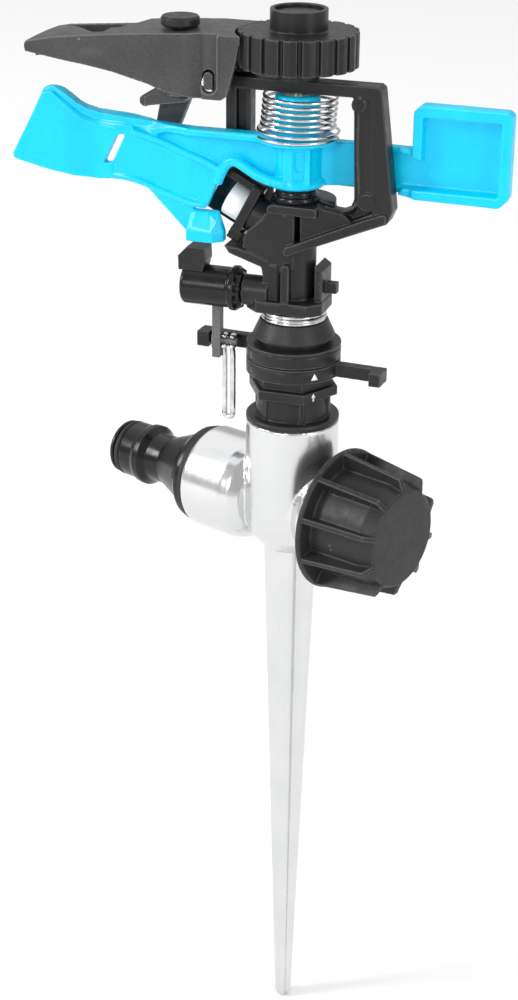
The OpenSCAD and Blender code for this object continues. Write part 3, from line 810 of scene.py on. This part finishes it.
def weight_cuts():
    """The sunk field in the counterweight's face, with drafted walls."""
    middle_x, middle_z = WEIGHT_MIDDLE
    mouth = [(middle_x + (x - middle_x) * FIELD_DRAFT[0], middle_z + (z - middle_z) * FIELD_DRAFT[1])
             for x, z in WEIGHT_FIELD]
    return [stacked([[(x, 0, z) for x, z in mouth], [(x, WEIGHT_FIELD_Y, z) for x, z in WEIGHT_FIELD]])]


def make_hammer():
    """The blue hammer: left arm and paddle, spoon, hub, right arm and counterweight in one moulding."""
    left = [fine_prism(ARM_WEB, -4.9, -3.05), fine_prism(PADDLE, -5.9, -3.2),
            fine_prism(VANE, -5.5, -3.2), brim(), prism(GUSSET, -4.9, -3.1),
            tube(smooth_path(RIDGE, 4), 0.95, 12), tube(smooth_path(LOWER_RIM, 4), 0.85, 12),
            tube(smooth_path(HOOD, 4), 1.35, 12)]
    shells = [drifted(mesh) for mesh in left] + [spoon_block()] + hub() + right_arm() + counterweight()
    slot = prism(SLOT, -20, 20)
    tail = tube([(-50.6, -2.2, 104), (-54.4, -1.6, 100.2)], [0.8, 0.15], 8)
    pocket = block((1.35, -8, 106.4), (3.85, -5.4, 111.5))
    cuts = [slot, tail, pocket, disc(3.25, 90, 130)] + weight_cuts()
    piece = moulded("hammer_moulding", shells, cuts, voxel=0.26, rounding=8)
    finish(piece, BLUE, "hammer", "blue_plastic", "hammer")
    finish(moulded("spoon_facet", [spoon_facet()], voxel=0.12, rounding=2), SCUFFED_BLUE, "hammer",
           "blue_plastic")


make_hammer()


# ---- tension wheel ----

finish(moulded("wheel_moulding", [cad_shell("tension_wheel")], voxel=0.22, rounding=2),
       BLACK, "tension_wheel", "black_plastic", "tension_wheel")
finish(moulded("wheel_cap_disc", [cad_shell("wheel_cap")], voxel=0.22, rounding=2),
       GREY_BLACK, "tension_wheel", "black_plastic", "wheel_cap")


# ---- flap ----

FLAP_TOP = [(-69.2, 134.4), (-59.8, 136.6), (-48.9, 137.8), (-35.6, 139.1), (-22.5, 139.8), (-11, 139.8)]
FLAP_SIDE_Y = in_mm(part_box("flap")[0])[1]
GROOVE_EDGE_X = -21.8
HINGE_HEAD_X = -20.1
HINGE_HEAD_Z = 128.25


def flap_top(x):
    """The height of the flap's top face."""
    for (x0, z0), (x1, z1) in zip(FLAP_TOP, FLAP_TOP[1:]):
        if x <= x1 or x1 == FLAP_TOP[-1][0]:
            return z0 + (z1 - z0) * (x - x0) / (x1 - x0)


def flap_pocket():
    """The three-cornered pocket in the top, near the tip."""
    plan = rounded([(-66.2, 9.2), (-51.8, -6.9), (-48.8, -7.5), (-48.6, 9.2)], 0.5)
    return stacked([[(x, y, flap_top(x) - 3.4) for x, y in plan],
                    [(x, y, flap_top(x) + 2) for x, y in plan]])


def stadium(x, z, half_width, half_height):
    """A slot outline with round ends, upright."""
    reach = half_height - half_width
    return arc((x, z + reach), half_width, 0, 180, 16) + arc((x, z - reach), half_width, 180, 360, 16)


def flap_shift(x, y, z):
    """Crowns the top, bellies the near side and hollows it near its tip and beside the groove."""
    crown = 0.25 * (1 - (y / FLAP_SIDE_Y) ** 2) * min(1, max(0, (z - flap_top(x) + 4) / 3))
    depth = 0.0
    if y < FLAP_SIDE_Y + 1.2 and x < GROOVE_EDGE_X:
        belly = 0.7 * swell(x, -36, 8) + 0.25 * swell(x, -58, 5)
        hollow = 0.55 * swell(x, -50, 4) * swell(z, 134.6, 1.6) + 1.1 * swell(x, GROOVE_EDGE_X, 2.2)
        depth = hollow - belly
    return 0, depth, crown


def make_flap():
    """The flap, the oval head of its hinge pin and the pin itself."""
    ridge = [(-17.5, FLAP_SIDE_Y + 0.1, z) for z in (139.4, 134, 128)]
    ridge += [(-19.75 + dx, FLAP_SIDE_Y + 0.1, 127.2 + dz) for dx, dz in arc((0, 0), 2.3, -10, -170, 10)]
    under = prism([(x, flap_top(x) - 4) for x in (-66.5, -57, -47)]
                  + [(x, flap_top(x) - 1) for x in (-47, -57, -66.5)], -9.6, 9.6)
    edge = tube([(x, FLAP_SIDE_Y - 0.1, z - 0.75) for x, z in FLAP_TOP[1:-1]], 0.22, 8)
    outline = [(GROOVE_EDGE_X, 142)] + arc((-19.75, 127.4), 2.05, 180, 360, 16) + [(-17.7, 142)]
    groove = prism(outline, -12, FLAP_SIDE_Y + 0.9)
    slot = prism(stadium(HINGE_HEAD_X, HINGE_HEAD_Z, 1.6, 2.75), -12, FLAP_SIDE_Y + 2)
    piece = moulded("flap_moulding", [cad_shell("flap"), under, tube(ridge, 0.42, 10)],
                    [flap_pocket(), edge, groove, slot], voxel=0.22, rounding=4)
    finish(reshape(piece, flap_shift), GREY_BLACK, "flap", "grey_black_plastic", "flap")
    oval = prism(stadium(HINGE_HEAD_X, HINGE_HEAD_Z, 1.15, 2.2), FLAP_SIDE_Y + 0.3, FLAP_SIDE_Y + 2)
    head = moulded("hinge_pin_head", [oval], voxel=0.12, rounding=3)
    finish(head, GREY_BLACK, "head", "grey_black_plastic")
    pin = rounded([(0, -9.6), (1.45, -9.6), (1.45, 10.1), (0, 10.1)], 0.2)
    finish(crisp("hinge_pin_shaft", [turned(pin, Matrix.Translation((HINGE[0], 0, HINGE[2])) @ DOWN)]),
           STEEL, "head", "steel", "flap_pin")


make_flap()
finish(moulded("breaker_arm", [cad_shell("jet_breaker")], voxel=0.22, rounding=2),
       GREY_BLACK, "flap", "grey_black_plastic", "jet_breaker")
BUTTON_PLACE = Matrix.Translation((-29.3, -4.5, 0))
BUTTON = rounded([(0, 122.2), (2, 122.2), (2, 140.2), (4.4, 140.2), (4.9, 140.8), (4.9, 142.2),
                  (4.4, 142.85), (2.6, 142.6), (0, 142.4)], 0.3)
finish(crisp("adjuster_button", [turned(BUTTON, BUTTON_PLACE)]),
       BLACK, "flap_screw", "black_plastic", "flap_screw")


# ---- trip ----

TRIP = Matrix.Translation((0, TRIP_AXIS[1], TRIP_AXIS[2])) @ Matrix.Rotation(math.radians(90), 4, "Y")
BARREL = rounded([(1.9, -28.8), (4.9, -28.8), (5.3, -28.2), (5.3, -15.9), (5.9, -15.5), (5.9, -14.2),
                  (5.2, -13.9), (4.4, -13.6), (4.4, -12.7), (1.9, -12.6)], 0.35)
RATCHET_TEETH = 12


def ratchet():
    """The serrated collar on the drum's end, for setting its spring."""
    ring = []
    for index in range(RATCHET_TEETH):
        for share, radius in ((-0.3, 4.3), (-0.16, 5.7), (0.16, 5.7), (0.3, 4.3)):
            a = 2 * math.pi * (index + share) / RATCHET_TEETH
            ring.append((radius * math.cos(a), radius * math.sin(a)))
    return stacked([[(x, y, -14.4) for x, y in ring], [(0.86 * x, 0.86 * y, -12.7) for x, y in ring]],
                   TRIP)


DRUM_BORE = 1.95
finish(moulded("trip_drum", [turned(BARREL, TRIP), ratchet()], [disc(DRUM_BORE, -40, 0, TRIP)],
               voxel=0.18, rounding=2),
       GLOSSY_BLACK, "trip", "black_plastic", "trip_barrel")
finish(moulded("trip_block", [cad_shell("reversing_block")], voxel=0.2, rounding=2),
       BLACK, "trip", "black_plastic", "reversing_block")
finish(moulded("trip_finger", [cad_shell("trip_lever")], voxel=0.16, rounding=2),
       WORN_GREY, "trip", "grey_plastic", "trip_lever")


# ---- CAD nodes that keep their own shape ----

KEPT = {
    "nipple_seal": RUBBER, "hose_o_ring": RUBBER, "hose_gasket": RUBBER, "cap_gasket": RUBBER,
    "stem_seal": RUBBER, "stem_tube": BLACK, "thrust_washers": NATURAL, "hammer_sleeve": NATURAL,
    "hammer_pin": STEEL, "trip_axle": STEEL, "trip_spring": STEEL,
}
for node, material in KEPT.items():
    NODES[node].data.materials.clear()
    NODES[node].data.materials.append(material)


# ---- floor, light and camera ----

FLOOR_HALF_M = 4.0
FLOOR_GAP_M = 0.0002
WORLD_LIGHT = 0.5


def make_floor():
    """A plain pale floor, level with the spike's tip."""
    half = FLOOR_HALF_M
    level = SPIKE_TIP_Z * MM - FLOOR_GAP_M
    data = bpy.data.meshes.new("floor")
    data.from_pydata([(-half, -half, level), (half, -half, level), (half, half, level),
                      (-half, half, level)], [], [(0, 1, 2, 3)])
    floor = bpy.data.objects.new("floor", data)
    bpy.context.scene.collection.objects.link(floor)
    floor.data.materials.append(blank_material("floor_paper", (0.9, 0.9, 0.9), 0.9)[0])


def make_world():
    """Even white light from all sides."""
    world = bpy.data.worlds.new("studio")
    world.use_nodes = True
    background = world.node_tree.nodes["Background"]
    background.inputs["Color"].default_value = (1, 1, 1, 1)
    background.inputs["Strength"].default_value = WORLD_LIGHT
    bpy.context.scene.world = world


def softbox(name, place, aim, size, power):
    """A rectangular lamp in metres and watts, turned towards a point."""
    light = bpy.data.lights.new(name, "AREA")
    light.shape = "RECTANGLE"
    light.size, light.size_y = size
    light.energy = power
    lamp = bpy.data.objects.new(name, light)
    lamp.location = place
    lamp.rotation_euler = (Vector(aim) - Vector(place)).to_track_quat("-Z", "Y").to_euler()
    bpy.context.scene.collection.objects.link(lamp)


LENS = 71.28
CAMERA_PLACE_M = (0.1432, -0.4683, 0.2350)
CAMERA_TURN = 18.02
CAMERA_DOWN = 24.31
CAMERA_ROLL = 0.55


def make_camera():
    """The photograph's viewpoint: from the front right and above, with a slight roll."""
    data = bpy.data.cameras.new("camera")
    data.sensor_width = 36
    data.lens = LENS
    data.clip_start = 0.01
    camera = bpy.data.objects.new("camera", data)
    turn = Matrix.Rotation(math.radians(CAMERA_TURN), 4, "Z")
    tilt = Matrix.Rotation(math.radians(90 - CAMERA_DOWN), 4, "X")
    roll = Matrix.Rotation(math.radians(CAMERA_ROLL), 4, "Z")
    camera.matrix_world = Matrix.Translation(CAMERA_PLACE_M) @ turn @ tilt @ roll
    bpy.context.scene.collection.objects.link(camera)
    bpy.context.scene.camera = camera


make_floor()
make_world()
AIM_M = (0, 0, 0.05)
softbox("key", (-1.87, -1.05, 1.28), AIM_M, (0.5, 0.9), 30)
softbox("front", (-0.5, -2.3, 0.9), AIM_M, (0.5, 0.5), 15)
softbox("fill", (1.7, -0.9, 0.6), AIM_M, (0.4, 1.6), 12)
softbox("ceiling", (0, 1.5, 2.4), (0, 1.5, 0), (5, 5), 56)
make_camera()
bpy.context.scene.view_settings.view_transform = "Standard"
